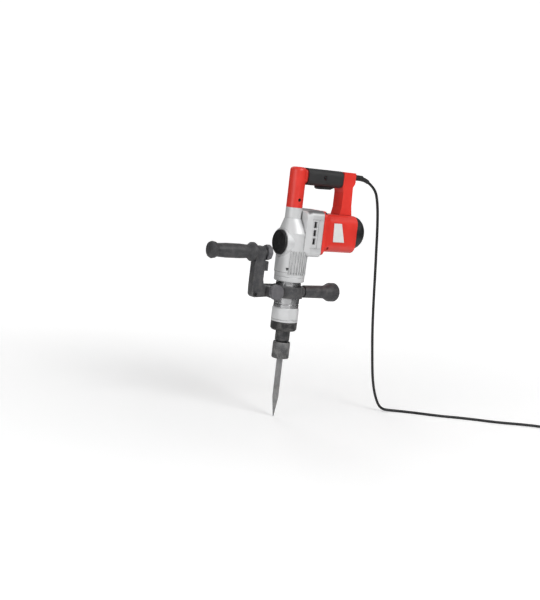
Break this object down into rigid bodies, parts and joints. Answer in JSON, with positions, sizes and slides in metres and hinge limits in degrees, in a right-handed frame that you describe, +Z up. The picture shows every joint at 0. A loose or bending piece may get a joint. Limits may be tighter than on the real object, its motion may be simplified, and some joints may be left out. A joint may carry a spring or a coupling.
{
  "type": "demolition hammer",
  "caption": "Upright electric demolition hammer with a D-handle, motor set out to one side, cranked two-grip side handle, chisel in its holder and a mains lead.",
  "frame": {"origin": "point of the chisel", "axes": "+Z up the barrel towards the D-handle, +X out along the motor, +Y by the right-hand rule"},
  "size_m": [1.0751, 0.4137, 0.621],
  "materials": {
    "red_plastic": "moulded, semi-gloss",
    "silver_casting": "die-cast, silver lacquer",
    "polished_steel": "polished",
    "dark_steel": "blackened, worn",
    "sleeve_steel": "dark grey phosphated",
    "chisel_steel": "forged and ground",
    "bright_steel": "ground",
    "screw_steel": "black zinc",
    "laminations": "stacked sheet",
    "rod_alloy": "cast",
    "copper_wire": "enamelled copper",
    "brass_fittings": "pressed",
    "carbon": "pressed carbon",
    "black_plastic": "moulded, satin",
    "knob_plastic": "moulded, fine texture",
    "grip_plastic": "moulded, fine texture",
    "handle_casting": "cast, dark lacquer",
    "black_rubber": "moulded, matte",
    "cord_rubber": "smooth, satin",
    "label_film": "plain printed film, no text"
  },
  "bodies": {
    "hammer_body": {"tool_holder": "dark_steel", "locking_rollers": "bright_steel", "sleeve_spring": "bright_steel", "rubber_ring": "black_rubber", "front_collar": "silver_casting", "neck_tube": "polished_steel", "cylinder_sleeve": "bright_steel", "crank_bearing": "bright_steel", "front_flange": "silver_casting", "gear_housing": "silver_casting", "motor_housing": "red_plastic", "end_cap": "black_plastic", "label_plate": "label_film", "stator": "laminations", "field_windings": "copper_wire", "front_motor_bearing": "bright_steel", "rear_motor_bearing": "bright_steel", "brush_holders": "brass_fittings", "carbon_brushes": "carbon", "left_handle_shell": "red_plastic", "right_handle_shell": "red_plastic", "grip_sleeve": "black_rubber", "switch_body": "black_plastic", "handle_screws": "screw_steel", "flange_screws": "screw_steel", "strain_relief": "black_rubber", "cord": "cord_rubber", "cord_coil": "cord_rubber", "cord_tie": "black_rubber", "plug": "cord_rubber", "plug_pins": "polished_steel"},
    "chisel": {"chisel": "chisel_steel"},
    "retaining_sleeve": {"retaining_sleeve": "sleeve_steel"},
    "impact_bolt": {"impact_bolt": "bright_steel"},
    "striker": {"striker": "bright_steel", "striker_seal": "black_rubber"},
    "piston": {"piston": "bright_steel", "piston_seal": "black_rubber"},
    "connecting_rod": {"connecting_rod": "rod_alloy", "piston_pin": "bright_steel"},
    "crank": {"crankshaft": "bright_steel", "crank_gear": "bright_steel"},
    "armature": {"armature_shaft": "bright_steel", "armature_core": "laminations", "armature_windings": "copper_wire", "commutator": "copper_wire", "cooling_fan": "black_plastic"},
    "oil_cap": {"oil_cap": "black_plastic"},
    "trigger": {"trigger": "black_plastic"},
    "lock_button": {"lock_button": "black_plastic"},
    "side_handle": {"clamp_band": "handle_casting", "crank_arm": "handle_casting", "elbow_bolt": "screw_steel", "clamp_bolt": "screw_steel", "right_grip_core": "screw_steel", "right_grip": "grip_plastic", "left_grip_core": "screw_steel", "left_grip": "grip_plastic"},
    "clamp_knob": {"clamp_knob": "knob_plastic"},
    "lock_knob": {"lock_knob": "knob_plastic"}
  },
  "joints": [
    {"name": "motor_spin", "type": "hinge", "parent": "hammer_body", "child": "armature", "pos_m": [0.1, 0, 0.471], "axis": [1, 0, 0], "continuous": true},
    {"name": "crank_spin", "type": "hinge", "parent": "hammer_body", "child": "crank", "pos_m": [0.03, 0, 0.43725], "axis": [1, 0, 0], "continuous": true},
    {"name": "rod_hinge", "type": "hinge", "parent": "crank", "child": "connecting_rod", "pos_m": [0, 0, 0.42525], "axis": [1, 0, 0], "continuous": true},
    {"name": "piston_slide", "type": "slide", "parent": "hammer_body", "child": "piston", "axis": [0, 0, 1], "range_m": [0, 0.024]},
    {"name": "striker_slide", "type": "slide", "parent": "hammer_body", "child": "striker", "axis": [0, 0, 1], "range_m": [0, 0.024]},
    {"name": "impact_bolt_slide", "type": "slide", "parent": "hammer_body", "child": "impact_bolt", "axis": [0, 0, 1], "range_m": [0, 0.006]},
    {"name": "chisel_slide", "type": "slide", "parent": "hammer_body", "child": "chisel", "axis": [0, 0, 1], "range_m": [0, 0.012]},
    {"name": "retaining_sleeve_slide", "type": "slide", "parent": "hammer_body", "child": "retaining_sleeve", "axis": [0, 0, 1], "range_m": [0, 0.008], "stiffness_N_per_m": 900, "springref_m": -0.006, "deforming": ["sleeve_spring"]},
    {"name": "side_handle_swivel", "type": "hinge", "parent": "hammer_body", "child": "side_handle", "pos_m": [0, 0, 0.317], "axis": [0, 0, 1], "range_deg": [-90, 90]},
    {"name": "clamp_knob_turn", "type": "hinge", "parent": "side_handle", "child": "clamp_knob", "pos_m": [-0.055, -0.034, 0.318], "axis": [0, -1, 0], "range_deg": [-720, 0]},
    {"name": "lock_knob_turn", "type": "hinge", "parent": "side_handle", "child": "lock_knob", "pos_m": [-0.072, 0, 0.41], "axis": [1, 0, 0], "range_deg": [0, 720]},
    {"name": "oil_cap_turn", "type": "hinge", "parent": "hammer_body", "child": "oil_cap", "pos_m": [-0.04, 0, 0.43725], "axis": [-1, 0, 0], "range_deg": [0, 90]},
    {"name": "trigger_squeeze", "type": "hinge", "parent": "hammer_body", "child": "trigger", "pos_m": [0.099, 0, 0.585], "axis": [0, 1, 0], "range_deg": [0, 6], "stiffness_Nm_per_rad": 1.2, "springref_deg": -5.73},
    {"name": "lock_button_press", "type": "slide", "parent": "hammer_body", "child": "lock_button", "axis": [0, 1, 0], "range_m": [0, 0.0025], "stiffness_N_per_m": 400, "springref_m": -0.002}
  ],
  "couplings": [
    {"joint": "crank_spin", "follows": "motor_spin", "ratio": -0.2},
    {"joint": "rod_hinge", "follows": "motor_spin", "ratio": 0.2}
  ]
}
